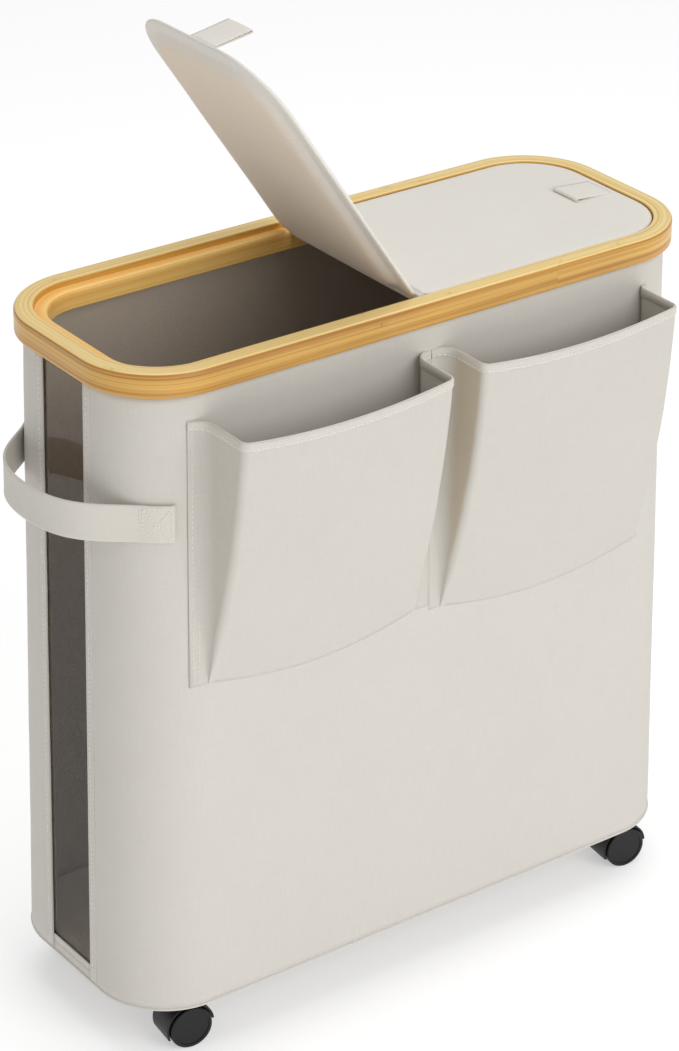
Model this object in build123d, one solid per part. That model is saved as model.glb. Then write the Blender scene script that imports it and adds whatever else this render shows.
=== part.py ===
"""Slim rolling storage bin: a fabric body on boards, a bamboo rim, two lids, two pockets and four castors.

Frame: millimetres, +Z up. The origin is on the floor under the middle of the body.
+X runs along the long side towards the closed end; the window and the strap are at -X; the pockets are at -Y.
"""
from build123d import *
import math
import os

# ---- driving dimensions ------------------------------------------------------------------------------------

RIM_TOP_Z = 474.0          # floor to the top of the rim
RIM_LENGTH = 430.0
RIM_WIDTH = 166.0
RIM_CORNER_R = 53.5
BAND_HEIGHT = 15.5         # outer bamboo band
BAND_THICK = 12.0
BAND_EDGE_R = 1.2
LEDGE_DROP = 4.0           # the lids lie this far below the rim's top
LEDGE_WIDTH = 8.5
LEDGE_HEIGHT = 12.5
SCARF_X = 102.0            # where the two halves of the outer band are joined
SCARF_RUN = 16.0           # length of the slanted joint

BODY_TOP_LENGTH = 418.4    # outside of the cover under the rim
BODY_TOP_WIDTH = 158.8
BODY_FOOT_LENGTH = 435.6   # outside of the cover at the bottom: the body flares a little
BODY_FOOT_WIDTH = 169.4
BODY_CORNER_R = 49.4
BODY_FOOT_Z = 37.3         # floor to the underside of the body
BODY_TOP_Z = RIM_TOP_Z - BAND_HEIGHT

COVER_THICK = 0.9
BOARD_THICK = 2.5
LINING_THICK = 0.6
LINING_EASE = 1.0          # the lining's window is wider than the cover's on each side
UNDERSIDE_THICK = 1.0
PIPING_OUT = 1.4           # how far the piping stands out from the cover
PIPING_DROP = 0.6          # and how far it reaches below and above the wall's foot
PIPING_RISE = 2.4
BASE_THICK = 6.0
PAD_THICK = 4.0

WINDOW_WIDTH = 45.0
WINDOW_FOOT_Z = 50.0       # top edge of the sill strip
HEM_WIDTH = 7.0
HEM_THICK = 0.6
FILM_THICK = 0.5
FILM_LAP = 3.5             # how far the film runs behind each hem
FILM_DROP = 4.0            # and below the top edge of the sill strip
COVER_SILL = 3.0           # the cover runs on under the window, this high
SILL_THICK = 1.4
SILL_LAP = 0.6             # the sill's folded edge, over the film

POCKET_X = (-88.0, 88.0)   # middle of each pocket
POCKET_WIDTH = 152.0
POCKET_TOP_Z = 441.0       # at the two front corners
POCKET_FOOT_Z = 262.0
POCKET_SAG = 5.0           # how far the top edge dips in the middle
POCKET_DEPTH = 38.0        # from the body to the front panel, at the top
POCKET_BELLY = 0.68        # share of that depth left half-way down
POCKET_CLOTH = 1.2
POCKET_HEM = 6.0
POCKET_HEM_THICK = 1.8
FLANGE_WIDTH = 10.0
FLANGE_THICK = 0.9
FLANGE_FOOT_RISE = 8.0     # the flanges end this far above the pocket's foot
POCKET_STANDOFF = 0.3      # between the cover and the gussets

STRAP_LOW_Z = 365.5
STRAP_WIDTH = 24.0
STRAP_THICK = 1.8
STRAP_BOW = 28.0           # how far the strap stands out past the end of the body
STRAP_CLEAR = 0.7          # between the cover and the strap

SPINE_WIDTH = 4.4
SPINE_LOW_Z = 464.5
SPINE_TOP_Z = 473.4
SPINE_END_GAP = 0.3

LID_GAP = 1.5              # between the lid and the band, all round
LID_TOP_Z = 473.7
LID_FLANGE = 3.5           # thickness of the lid's edge, over the ledge
LID_THICK = 10.0           # thickness with the pad
LID_HINGE_X = 2.6          # hinge line from the middle of the rim
LID_COVER = 0.7
LID_HINGE_EASE = 0.2       # from the hinge line to the lid's edge
LID_HINGE_STEP = 1.5       # the pad is set back this far at the hinge
LID_PAD_TAPER = 4.0        # the pad is this much narrower at its underside, all round
LID_CHAMFER = 5.0
LID_OPEN_DEG = 56.0        # the left lid stands open
TAB_WIDTH = 24.0
TAB_THICK = 2.6
FLAT_TAB_LENGTH = 26.0     # the right lid's tab lies on the lid
FLAT_TAB_INSET = 8.0
RAISED_TAB_LENGTH = 29.0   # the left lid's tab stands out
RAISED_TAB_INSET = 7.0
RAISED_TAB_RISE_DEG = 9.0  # its slope while the lid stands open

WHEEL_R = 14.5
WHEEL_WIDTH = 8.0
WHEEL_GAP = 8.6            # between the two wheels of a castor
WHEEL_BORE_R = 1.55
WHEEL_EDGE_R = 1.0
WHEEL_LIP = 2.4            # width of the rim round the dish
WHEEL_DISH = 0.4           # depth of the dish in the outer face
WHEEL_CAP = 1.6            # closed end of the axle bore, from the outer face
AXLE_R = 1.5
CASTOR_X = 179.0
CASTOR_Y = 61.0
CASTOR_TRAIL = 5.0         # from the stem to the axle
CASTOR_TURN_DEG = -7.0     # the castors' heading at rest
HOOD_TOP_Z = 36.3
HOOD_R = 16.6
HOOD_WALL = 1.3
HOOD_WIDTH = 21.0
HOOD_FRONT_RISE = 1.5      # the guard ends this far above the axle in front
HOOD_BACK_DROP = 6.0       # and this far below it behind
WEB_WIDTH = 8.0
BOSS_R = 6.5
BOSS_FOOT_RISE = 6.0       # foot of the boss above the axle
STEM_R = 2.5
STEM_BORE_R = 2.56
STEM_FOOT_Z = 24.0
SCREW_R = 3.0
STEM_COLLAR = 1.0          # the pin runs on above the hood
HOLE_EASE = 0.2            # between the screw and its hole in the cloth
THREAD_EASE = 0.05
TEE_BARREL_R = 4.0
TEE_FLANGE_R = 8.0
TEE_FLANGE_THICK = 1.0
WASHER_R = 6.0
WASHER_THICK = 0.7
WASHER_GAP = 0.2           # between the hood and the washer

BIG = 1000.0               # larger than the object: for half-space cutters


# ---- small helpers -----------------------------------------------------------------------------------------

def box_between(low, high):
    """A box given by its lowest and highest corners."""
    size = [b - a for a, b in zip(low, high)]
    middle = [(a + b) / 2 for a, b in zip(low, high)]
    return Pos(*middle) * Box(*size)


def rounded_slab(length, width, radius, low_z, high_z):
    outline = Pos(0, 0, low_z) * RectangleRounded(length, width, radius)
    return extrude(outline, amount=high_z - low_z)


def save(name, shape):
    """Write one node, which may be a group of separate solids."""
    solids = shape.solids()
    whole = solids[0] if len(solids) == 1 else Compound(children=list(solids))
    export_step(whole, "parts/" + name + ".step")


# ---- the body's wall ---------------------------------------------------------------------------------------

def body_size(z):
    """Length and width outside the cover at height z."""
    share = (BODY_TOP_Z - z) / (BODY_TOP_Z - BODY_FOOT_Z)
    length = BODY_TOP_LENGTH + share * (BODY_FOOT_LENGTH - BODY_TOP_LENGTH)
    width = BODY_TOP_WIDTH + share * (BODY_FOOT_WIDTH - BODY_TOP_WIDTH)
    return length, width


def body_block(inset, low_z, high_z):
    """The body as a solid block, moved in from the cover's outside by inset."""
    outlines = []
    for z in (low_z, high_z):
        length, width = body_size(z)
        outline = RectangleRounded(length - 2 * inset, width - 2 * inset, BODY_CORNER_R - inset)
        outlines.append(Pos(0, 0, z) * outline)
    return loft(outlines, ruled=True)


def wall_layer(outer_inset, inner_inset, low_z, high_z):
    """One layer of the wall, between two insets."""
    return body_block(outer_inset, low_z, high_z) - body_block(inner_inset, low_z, high_z)


def window_slot(half_width, low_z):
    """A cutter through the left end."""
    return box_between((-BIG, -half_width, low_z), (-BODY_TOP_LENGTH / 4, half_width, BIG))


WALL_LOW_Z = BODY_FOOT_Z + UNDERSIDE_THICK
BOARD_INSET = COVER_THICK
LINING_INSET = COVER_THICK + BOARD_THICK
INSIDE_INSET = LINING_INSET + LINING_THICK
FILM_HALF = WINDOW_WIDTH / 2 + FILM_LAP
CORNER_X = BODY_TOP_LENGTH / 2 - BODY_CORNER_R    # where the flat front ends and the corner begins


def make_cover():
    layer = wall_layer(0, COVER_THICK, WALL_LOW_Z, BODY_TOP_Z)
    return layer - window_slot(WINDOW_WIDTH / 2, WALL_LOW_Z + COVER_SILL)


def make_boards():
    """Five boards stiffen the wall; they meet edge to edge at the ends of the flat front and back."""
    layer = wall_layer(BOARD_INSET, LINING_INSET, WALL_LOW_Z, BODY_TOP_Z)
    layer -= window_slot(FILM_HALF, WALL_LOW_Z - 1)
    middle = box_between((-CORNER_X, -BIG, -BIG), (CORNER_X, BIG, BIG))
    left = box_between((-BIG, -BIG, -BIG), (-CORNER_X, BIG, BIG))
    right = box_between((CORNER_X, -BIG, -BIG), (BIG, BIG, BIG))
    front = box_between((-BIG, -BIG, -BIG), (BIG, 0, BIG))
    back = box_between((-BIG, 0, -BIG), (BIG, BIG, BIG))
    save("board_front", layer & middle & front)
    save("board_back", layer & middle & back)
    save("board_right_end", layer & right)
    save("board_left_front", layer & left & front)
    save("board_left_back", layer & left & back)


def make_lining():
    layer = wall_layer(LINING_INSET, INSIDE_INSET, WALL_LOW_Z + BASE_THICK, BODY_TOP_Z)
    return layer - window_slot(WINDOW_WIDTH / 2 + LINING_EASE, WINDOW_FOOT_Z - 2 * LINING_EASE)


def make_window_film():
    low_z = WINDOW_FOOT_Z - FILM_DROP
    sheet = wall_layer(BOARD_INSET, BOARD_INSET + FILM_THICK, low_z, BODY_TOP_Z)
    return sheet & window_slot(FILM_HALF, low_z)


def make_window_hem(side):
    """A turned edge on the cover; side is -1 for the front one and 1 for the back one."""
    strip = wall_layer(-HEM_THICK, 0, WALL_LOW_Z + COVER_SILL, BODY_TOP_Z)
    near = side * WINDOW_WIDTH / 2
    far = near + side * HEM_WIDTH
    low_y, high_y = min(near, far), max(near, far)
    return strip & box_between((-BIG, low_y, -BIG), (0, high_y, BIG))


def make_window_sill():
    """The cloth across the foot of the window: a strip below the film and a folded edge over it."""
    strip = wall_layer(BOARD_INSET, BOARD_INSET + SILL_THICK, WALL_LOW_Z, WINDOW_FOOT_Z - FILM_DROP)
    strip = strip & window_slot(FILM_HALF, -BIG)
    lap = wall_layer(BOARD_INSET - SILL_LAP, BOARD_INSET, WALL_LOW_Z + COVER_SILL, WINDOW_FOOT_Z)
    lap_ease = 0.1
    return strip + (lap & window_slot(WINDOW_WIDTH / 2 - lap_ease, -BIG))


# ---- base --------------------------------------------------------------------------------------------------

BASE_TOP_Z = WALL_LOW_Z + BASE_THICK
CASTOR_SIGNS = [(-1, -1), (1, -1), (-1, 1), (1, 1)]


def at_castors(shape):
    """The same shape at each of the four stems, as separate solids."""
    return [Pos(sx * CASTOR_X, sy * CASTOR_Y, 0) * shape for sx, sy in CASTOR_SIGNS]


def make_base_board():
    board = body_block(LINING_INSET, WALL_LOW_Z, BASE_TOP_Z)
    hole = Pos(0, 0, WALL_LOW_Z + BASE_THICK / 2) * Cylinder(TEE_BARREL_R, BASE_THICK * 2)
    for cutter in at_castors(hole):
        board -= cutter
    return board


def make_base_underside():
    sheet = body_block(0, BODY_FOOT_Z, WALL_LOW_Z)
    hole = Pos(0, 0, BODY_FOOT_Z) * Cylinder(SCREW_R + HOLE_EASE, UNDERSIDE_THICK * 4)
    for cutter in at_castors(hole):
        sheet -= cutter
    return sheet


def make_base_piping():
    return wall_layer(-PIPING_OUT, 0, WALL_LOW_Z - PIPING_DROP, WALL_LOW_Z + PIPING_RISE)


def make_floor_pad():
    """The loose pad inside, with recesses in its underside for the tee nuts' flanges."""
    edge_gap, recess_gap = 1.0, 0.5
    pad = body_block(INSIDE_INSET + edge_gap, BASE_TOP_Z, BASE_TOP_Z + PAD_THICK)
    recess = Pos(0, 0, BASE_TOP_Z) * Cylinder(TEE_FLANGE_R + recess_gap, 2 * TEE_FLANGE_THICK + recess_gap)
    for cutter in at_castors(recess):
        pad -= cutter
    return pad


# ---- bamboo rim --------------------------------------------------------------------------------------------

def rim_ring(outer_inset, inner_inset, low_z, high_z):
    outside = rounded_slab(
        RIM_LENGTH - 2 * outer_inset, RIM_WIDTH - 2 * outer_inset, RIM_CORNER_R - outer_inset, low_z, high_z)
    inside = rounded_slab(
        RIM_LENGTH - 2 * inner_inset, RIM_WIDTH - 2 * inner_inset, RIM_CORNER_R - inner_inset, low_z, high_z)
    return outside - inside


def make_rim_band():
    """The outer band, cut at two slanted scarf joints into a left and a right bent strip."""
    ring = rim_ring(0, BAND_THICK, BODY_TOP_Z, RIM_TOP_Z)
    ring = fillet(ring.edges().group_by(Axis.Z)[-1], BAND_EDGE_R)
    half_run = SCARF_RUN / 2
    right_side = Polyline(
        (SCARF_X - half_run, -RIM_WIDTH / 2 - 1),
        (SCARF_X + half_run, -RIM_WIDTH / 2 + BAND_THICK + 1),
        (SCARF_X + half_run, RIM_WIDTH / 2 - BAND_THICK - 1),
        (SCARF_X - half_run, RIM_WIDTH / 2 + 1),
        (BIG, RIM_WIDTH / 2 + 1),
        (BIG, -RIM_WIDTH / 2 - 1),
        close=True)
    cutter = extrude(make_face(right_side), amount=BIG)
    save("rim_band_left", ring - cutter)
    save("rim_band_right", ring & cutter)


def make_rim_ledge():
    top_z = RIM_TOP_Z - LEDGE_DROP
    return rim_ring(BAND_THICK, BAND_THICK + LEDGE_WIDTH, top_z - LEDGE_HEIGHT, top_z)


# ---- carrying strap ----------------------------------------------------------------------------------------

def strap_edge(offset):
    """One edge of the strap in plan: along the corner, out round the end and back along the other corner."""
    middle_z = STRAP_LOW_Z + STRAP_WIDTH / 2
    length, width = body_size(middle_z)
    corner = Vector(-(length / 2 - BODY_CORNER_R), width / 2 - BODY_CORNER_R)
    radius = BODY_CORNER_R + STRAP_CLEAR + offset
    sewn, loose = 115.0, 138.0      # directions from the corner's centre, in degrees
    back_end = corner + Vector(radius, 0).rotate(Axis.Z, sewn)
    back_free = corner + Vector(radius, 0).rotate(Axis.Z, loose)
    tip = Vector(-(length / 2 + STRAP_BOW - STRAP_THICK + offset), 0)
    front_free = Vector(back_free.X, -back_free.Y)
    front_end = Vector(back_end.X, -back_end.Y)
    out_way = Vector(-0.76, -0.65)
    in_way = Vector(0.76, -0.65)
    back_arc = RadiusArc(back_end, back_free, -radius)
    bow = Spline(back_free, tip, front_free, tangents=(out_way, in_way))
    front_arc = RadiusArc(front_free, front_end, -radius)
    return [back_arc, bow, front_arc], back_end, front_end


def make_handle_strap():
    inner, inner_start, inner_end = strap_edge(0)
    outer, outer_start, outer_end = strap_edge(STRAP_THICK)
    ends = [Line(inner_start, outer_start), Line(inner_end, outer_end)]
    outline = make_face(Wire(inner + ends + outer))
    band = extrude(Pos(0, 0, STRAP_LOW_Z) * outline, amount=STRAP_WIDTH)
    return band


# ---- pockets -----------------------------------------------------------------------------------------------

def panel_profile(front, low_z):
    """Side view of the pocket, from the body out to its front: (y, z), bellied towards the foot."""
    wall_y = -body_size(POCKET_TOP_Z)[1] / 2
    foot_y = -body_size(low_z)[1] / 2
    deep_y = wall_y - POCKET_DEPTH
    belly_y = wall_y - POCKET_BELLY * POCKET_DEPTH
    belly_z = (POCKET_TOP_Z + low_z) / 2 + 4
    top_lean, below_hem, foot_room = 1.0, 20.0, 1.0
    return [
        (deep_y - top_lean - front, POCKET_TOP_Z + POCKET_HEM),
        (deep_y - front, POCKET_TOP_Z - below_hem),
        (belly_y - front, belly_z),
        (foot_y - foot_room - front, low_z + foot_room),
    ]


def pocket_wedge(x_middle, grow, width):
    """The space inside a pocket as a solid, grown outwards at the front by grow."""
    face = panel_profile(grow, POCKET_FOOT_Z)
    curve = Spline(*face)
    back_top = Line(face[0], (0, face[0][1]))
    back_line = Line((0, face[0][1]), (0, face[-1][1]))
    back_foot = Line((0, face[-1][1]), face[-1])
    outline = make_face(Wire([curve, back_top, back_line, back_foot]))
    placed = Plane(origin=(x_middle - width / 2, 0, 0), x_dir=(0, 1, 0), z_dir=(1, 0, 0)) * outline
    return extrude(placed, amount=width) - body_block(-POCKET_STANDOFF, BODY_FOOT_Z, BODY_TOP_Z)


def sag_cutter(x_middle, drop):
    """Everything above the pocket's dipping top edge, lowered by drop."""
    half = POCKET_WIDTH / 2 + 2
    edge_z = POCKET_TOP_Z - drop
    over_z = edge_z + 60
    arc = ThreePointArc((-half, edge_z), (0, edge_z - POCKET_SAG), (half, edge_z))
    sides = Polyline((half, edge_z), (half, over_z), (-half, over_z), (-half, edge_z))
    outline = make_face(Wire([arc, *sides.edges()]))
    placed = Plane(origin=(x_middle, 0, 0), x_dir=(1, 0, 0), z_dir=(0, -1, 0)) * outline
    return extrude(placed, amount=BIG)


def make_pocket(name, x_middle):
    inner = pocket_wedge(x_middle, 0, POCKET_WIDTH)
    cloth = pocket_wedge(x_middle, POCKET_CLOTH, POCKET_WIDTH) - inner
    hem = pocket_wedge(x_middle, POCKET_HEM_THICK, POCKET_WIDTH) - inner
    above = sag_cutter(x_middle, 0)
    above_hem = sag_cutter(x_middle, POCKET_HEM)
    save(name + "_panel", cloth - above_hem)
    save(name + "_hem", (hem & above_hem) - above)
    half = POCKET_WIDTH / 2
    for label, side in (("left", -1), ("right", 1)):
        gusset_x = x_middle + side * (half + POCKET_CLOTH / 2)
        gusset = pocket_wedge(gusset_x, 0, POCKET_CLOTH)
        gusset -= box_between((-BIG, -BIG, POCKET_TOP_Z), (BIG, BIG, BIG))
        save(name + "_gusset_" + label, gusset)
    flanges = wall_layer(-FLANGE_THICK, 0, POCKET_FOOT_Z + FLANGE_FOOT_RISE, POCKET_TOP_Z)
    strips = []
    seam = 0.1
    for side in (-1, 1):
        near = x_middle + side * (half + POCKET_CLOTH + seam)
        far = near + side * FLANGE_WIDTH
        strips.append(box_between((min(near, far), -BIG, -BIG), (max(near, far), 0, BIG)))
    save(name + "_flanges", flanges & (strips[0] + strips[1]))


# ---- lids --------------------------------------------------------------------------------------------------

LID_END_X = RIM_LENGTH / 2 - BAND_THICK - LID_GAP
LID_HALF_WIDTH = RIM_WIDTH / 2 - BAND_THICK - LID_GAP
LID_CORNER_R = RIM_CORNER_R - BAND_THICK - LID_GAP
LID_PLUG_INSET = LEDGE_WIDTH + 0.6     # the pad clears the ledge


def lid_outline(inset, z):
    """Plan of the right lid, moved in by inset: large outer corners, small chamfers at the hinge."""
    hinge_x = LID_HINGE_X + LID_HINGE_EASE + min(inset, LID_HINGE_STEP)
    end_x = LID_END_X - inset
    half = LID_HALF_WIDTH - inset
    radius = LID_CORNER_R - inset
    cut = LID_CHAMFER - inset / 4
    top = Line((hinge_x + cut, half), (end_x - radius, half))
    top_arc = RadiusArc((end_x - radius, half), (end_x, half - radius), radius)
    end = Line((end_x, half - radius), (end_x, radius - half))
    foot_arc = RadiusArc((end_x, radius - half), (end_x - radius, -half), radius)
    rest = Polyline(
        (end_x - radius, -half), (hinge_x + cut, -half), (hinge_x, cut - half), (hinge_x, half - cut),
        (hinge_x + cut, half))
    return Pos(0, 0, z) * make_face(Wire([top, top_arc, end, foot_arc, *rest.edges()]))


def lid_plate(inset, low_z, high_z):
    return extrude(lid_outline(inset, low_z), amount=high_z - low_z)


def lid_pad(inset, low_z, high_z):
    """The padded underside, which narrows downwards."""
    return loft([lid_outline(inset + LID_PAD_TAPER, low_z), lid_outline(inset, high_z)], ruled=True)


def lid_pieces():
    """Cover, core board and foam of the right lid, closed."""
    flange_z = LID_TOP_Z - LID_FLANGE
    low_z = LID_TOP_Z - LID_THICK
    outside = lid_plate(0, flange_z, LID_TOP_Z) + lid_pad(LID_PLUG_INSET, low_z, flange_z)
    core_low = flange_z + LID_COVER
    core = lid_plate(LID_COVER, core_low, LID_TOP_Z - LID_COVER)
    foam = lid_pad(LID_PLUG_INSET + LID_COVER, low_z + LID_COVER, core_low)
    cover = outside - core - foam
    return cover, core, foam


def flat_tab():
    """The right lid's pull tab lies on the lid."""
    end_x = LID_END_X - FLAT_TAB_INSET
    low = (end_x - FLAT_TAB_LENGTH, -TAB_WIDTH / 2, LID_TOP_Z)
    high = (end_x, TAB_WIDTH / 2, LID_TOP_Z + TAB_THICK)
    return box_between(low, high)


def raised_tab():
    """The left lid's pull tab stands out while that lid is open; drawn here with the lid closed."""
    root_x = -(LID_END_X - RAISED_TAB_INSET)
    root_z = 0.9
    lean = 90 - RAISED_TAB_RISE_DEG - LID_OPEN_DEG
    low = (-TAB_THICK / 2, -TAB_WIDTH / 2, root_z)
    high = (TAB_THICK / 2, TAB_WIDTH / 2, RAISED_TAB_LENGTH)
    tab = Pos(root_x, 0, LID_TOP_Z) * Rot(0, lean, 0) * box_between(low, high)
    return tab - box_between((-BIG, -BIG, -BIG), (BIG, BIG, LID_TOP_Z))


def make_lids():
    pieces = dict(zip(("cover", "core", "foam"), lid_pieces()))
    hinge = Axis((-LID_HINGE_X, 0, LID_TOP_Z), (0, 1, 0))
    for label, shape in pieces.items():
        save("lid_right_" + label, shape)
        mirrored = mirror(shape, Plane.YZ)
        save("lid_left_" + label, mirrored.rotate(hinge, LID_OPEN_DEG))
    save("lid_right_tab", flat_tab())
    save("lid_left_tab", raised_tab().rotate(hinge, LID_OPEN_DEG))


def make_lid_spine():
    """A covered strip between the lids. Its ends lie on the ledge."""
    ledge_y = RIM_WIDTH / 2 - BAND_THICK - LEDGE_WIDTH
    ledge_z = RIM_TOP_Z - LEDGE_DROP
    half = SPINE_WIDTH / 2
    web = box_between((-half, -ledge_y, SPINE_LOW_Z), (half, ledge_y, SPINE_TOP_Z))
    end_y = ledge_y + LEDGE_WIDTH - SPINE_END_GAP
    return web + box_between((-half, -end_y, ledge_z), (half, end_y, SPINE_TOP_Z))


# ---- castors -----------------------------------------------------------------------------------------------

def disc_y(radius, width, x, y, z):
    """A disc with its axis along Y."""
    return Pos(x, y, z) * Rot(90, 0, 0) * Cylinder(radius, width)


def castor_hood():
    """Web, arched mudguard and boss, with the stem at the origin and the axle at +X."""
    axle_x = CASTOR_TRAIL
    inner_r = HOOD_R - HOOD_WALL
    back_z = WHEEL_R - HOOD_BACK_DROP
    guard = disc_y(HOOD_R, HOOD_WIDTH, axle_x, 0, WHEEL_R) - disc_y(inner_r, BIG, axle_x, 0, WHEEL_R)
    guard -= box_between((axle_x, -BIG, -BIG), (BIG, BIG, WHEEL_R + HOOD_FRONT_RISE))
    guard -= box_between((-BIG, -BIG, -BIG), (axle_x, BIG, back_z))
    web = disc_y(inner_r, WEB_WIDTH, axle_x, 0, WHEEL_R)
    web -= box_between((-BIG, -BIG, -BIG), (BIG, BIG, back_z))
    boss_low = WHEEL_R + BOSS_FOOT_RISE
    boss = Pos(0, 0, (boss_low + HOOD_TOP_Z) / 2) * Cylinder(BOSS_R, HOOD_TOP_Z - boss_low)
    boss -= disc_y(inner_r, WHEEL_GAP + 2 * WHEEL_WIDTH, axle_x, 0, WHEEL_R)
    hood = guard + web + boss
    bore_length = 40.0
    hood -= Pos(0, 0, STEM_FOOT_Z + bore_length / 2) * Cylinder(STEM_BORE_R, bore_length)
    hood -= disc_y(AXLE_R, BIG, axle_x, 0, WHEEL_R)
    return hood


def castor_wheel(side):
    """A plain disc wheel with a shallow dish in its outer face and a blind bore for the axle."""
    inner_y = side * WHEEL_GAP / 2
    outer_y = inner_y + side * WHEEL_WIDTH
    wheel = disc_y(WHEEL_R, WHEEL_WIDTH, 0, (inner_y + outer_y) / 2, 0)
    wheel = fillet(wheel.edges().filter_by(GeomType.CIRCLE), WHEEL_EDGE_R)
    wheel -= disc_y(WHEEL_R - WHEEL_LIP, 2 * WHEEL_DISH, 0, outer_y, 0)
    bore_end = outer_y - side * WHEEL_CAP
    bore_start = inner_y - side * 2
    wheel -= disc_y(WHEEL_BORE_R, abs(bore_end - bore_start), 0, (bore_start + bore_end) / 2, 0)
    return Pos(CASTOR_TRAIL, 0, WHEEL_R) * wheel


def castor_axle():
    end_cover = 2.0
    half = WHEEL_GAP / 2 + WHEEL_WIDTH - end_cover
    return disc_y(AXLE_R, 2 * half, CASTOR_TRAIL, 0, WHEEL_R)


def castor_fittings():
    """What is fixed to the base at every castor: tee nut, stem and thrust washer."""
    barrel = Pos(0, 0, WALL_LOW_Z + BASE_THICK / 2) * Cylinder(TEE_BARREL_R - THREAD_EASE, BASE_THICK)
    flange = Pos(0, 0, BASE_TOP_Z + TEE_FLANGE_THICK / 2) * Cylinder(TEE_FLANGE_R, TEE_FLANGE_THICK)
    tee_nut = barrel + flange
    tee_nut -= Pos(0, 0, BASE_TOP_Z) * Cylinder(SCREW_R + THREAD_EASE, 4 * BASE_THICK)
    pin_top = HOOD_TOP_Z + STEM_COLLAR
    pin = Pos(0, 0, (STEM_FOOT_Z + pin_top) / 2) * Cylinder(STEM_R, pin_top - STEM_FOOT_Z)
    screw = Pos(0, 0, (pin_top + BASE_TOP_Z) / 2) * Cylinder(SCREW_R, BASE_TOP_Z - pin_top)
    washer = Pos(0, 0, HOOD_TOP_Z + WASHER_GAP + WASHER_THICK / 2) * Cylinder(WASHER_R, WASHER_THICK)
    washer -= Pos(0, 0, HOOD_TOP_Z) * Cylinder(STEM_R + 2 * THREAD_EASE, 10)
    return tee_nut, pin + screw, washer


def make_castors():
    tee_nut, stem, washer = castor_fittings()
    for name, shape in (("castor_tee_nuts", tee_nut), ("castor_stems", stem), ("castor_washers", washer)):
        save(name, Compound(children=at_castors(shape)))
    sides = {(-1, -1): "front_left", (1, -1): "front_right", (-1, 1): "back_left", (1, 1): "back_right"}
    for (sx, sy), corner in sides.items():
        place = Pos(sx * CASTOR_X, sy * CASTOR_Y, 0) * Rot(0, 0, CASTOR_TURN_DEG)
        name = "castor_" + corner
        save(name + "_hood", place * castor_hood())
        save(name + "_axle", place * castor_axle())
        save(name + "_wheel_a", place * castor_wheel(-1))
        save(name + "_wheel_b", place * castor_wheel(1))


# ---- the whole bin -----------------------------------------------------------------------------------------

def main():
    os.makedirs("parts", exist_ok=True)
    make_rim_band()
    save("rim_ledge", make_rim_ledge())
    save("body_cover", make_cover())
    make_boards()
    save("lining", make_lining())
    save("window_film", make_window_film())
    save("window_hem_front", make_window_hem(-1))
    save("window_hem_back", make_window_hem(1))
    save("window_sill", make_window_sill())
    save("base_board", make_base_board())
    save("base_underside", make_base_underside())
    save("base_piping", make_base_piping())
    save("floor_pad", make_floor_pad())
    save("handle_strap", make_handle_strap())
    make_pocket("pocket_left", POCKET_X[0])
    make_pocket("pocket_right", POCKET_X[1])
    save("lid_spine", make_lid_spine())
    make_lids()
    make_castors()


main()
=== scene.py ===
"""Looks of the slim rolling storage bin: bamboo rim, fabric body, two lids, two pockets and four castors.

Metres, +Z up, the origin on the floor under the middle of the bin. The window and the strap are at -X and the
pockets at -Y. Every fabric and wood piece carries a map named "surface", which runs in metres over it.
"""

import math

import bmesh
import bpy
import numpy as np
from mathutils import Matrix, Vector


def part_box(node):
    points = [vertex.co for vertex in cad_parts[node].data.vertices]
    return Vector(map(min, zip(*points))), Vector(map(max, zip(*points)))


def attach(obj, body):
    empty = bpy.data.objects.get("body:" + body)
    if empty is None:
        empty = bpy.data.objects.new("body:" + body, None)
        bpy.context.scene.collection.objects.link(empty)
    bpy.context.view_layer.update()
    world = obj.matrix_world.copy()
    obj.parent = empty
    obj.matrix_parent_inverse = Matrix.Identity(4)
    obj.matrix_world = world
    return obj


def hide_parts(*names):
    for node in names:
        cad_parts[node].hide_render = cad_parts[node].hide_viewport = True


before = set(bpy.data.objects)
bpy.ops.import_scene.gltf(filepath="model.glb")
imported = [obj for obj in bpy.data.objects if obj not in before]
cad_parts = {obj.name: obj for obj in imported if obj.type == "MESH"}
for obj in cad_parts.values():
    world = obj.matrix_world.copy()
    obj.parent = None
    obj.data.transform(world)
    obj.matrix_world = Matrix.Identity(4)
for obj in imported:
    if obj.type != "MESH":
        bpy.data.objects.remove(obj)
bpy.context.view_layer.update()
MM = 0.001
X_AXIS, Y_AXIS, Z_AXIS = np.eye(3)

# ---- driving dimensions ----

RIM_LOW, RIM_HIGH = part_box("rim_band_left")
RIM_TOP_Z = RIM_HIGH.z
RIM_FOOT_Z = RIM_LOW.z
RIM_LENGTH = -2 * RIM_LOW.x
RIM_WIDTH = 2 * RIM_HIGH.y
RIM_CORNER_R = 53.5 * MM
BAND_THICK = 12 * MM
LEDGE_LOW, LEDGE_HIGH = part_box("rim_ledge")
LEDGE_WIDTH = 8.5 * MM
SCARF_X = 102 * MM         # the slanted joint in the outer band
SCARF_RUN = 16 * MM
SCARF_BLEND = 60 * MM      # over this length the band's cross-sections turn into the slant
SCARF_GAP = 0.12 * MM
BAND_EDGE_RADII = (0.8 * MM, 2.4 * MM, 1.4 * MM, 0.8 * MM)
LEDGE_EDGE_RADII = (0.4 * MM, 0.3 * MM, 2.6 * MM, 1.0 * MM)
GRAIN_SHIFT = 3.7          # moves the grain of the right strip along, so that the two differ

FOOT_LOW, FOOT_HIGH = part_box("base_underside")
BODY_FOOT_Z = FOOT_LOW.z
BODY_TOP_Z = RIM_FOOT_Z
BODY_FOOT_SIZE = 2 * FOOT_HIGH.xy
BODY_TOP_SIZE = (418.4 * MM, 158.8 * MM)
BODY_CORNER_R = 49.4 * MM
COVER_THICK = 0.8 * MM
LINING_INSET = 4.0 * MM
LINING_THICK = 0.5 * MM

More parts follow.
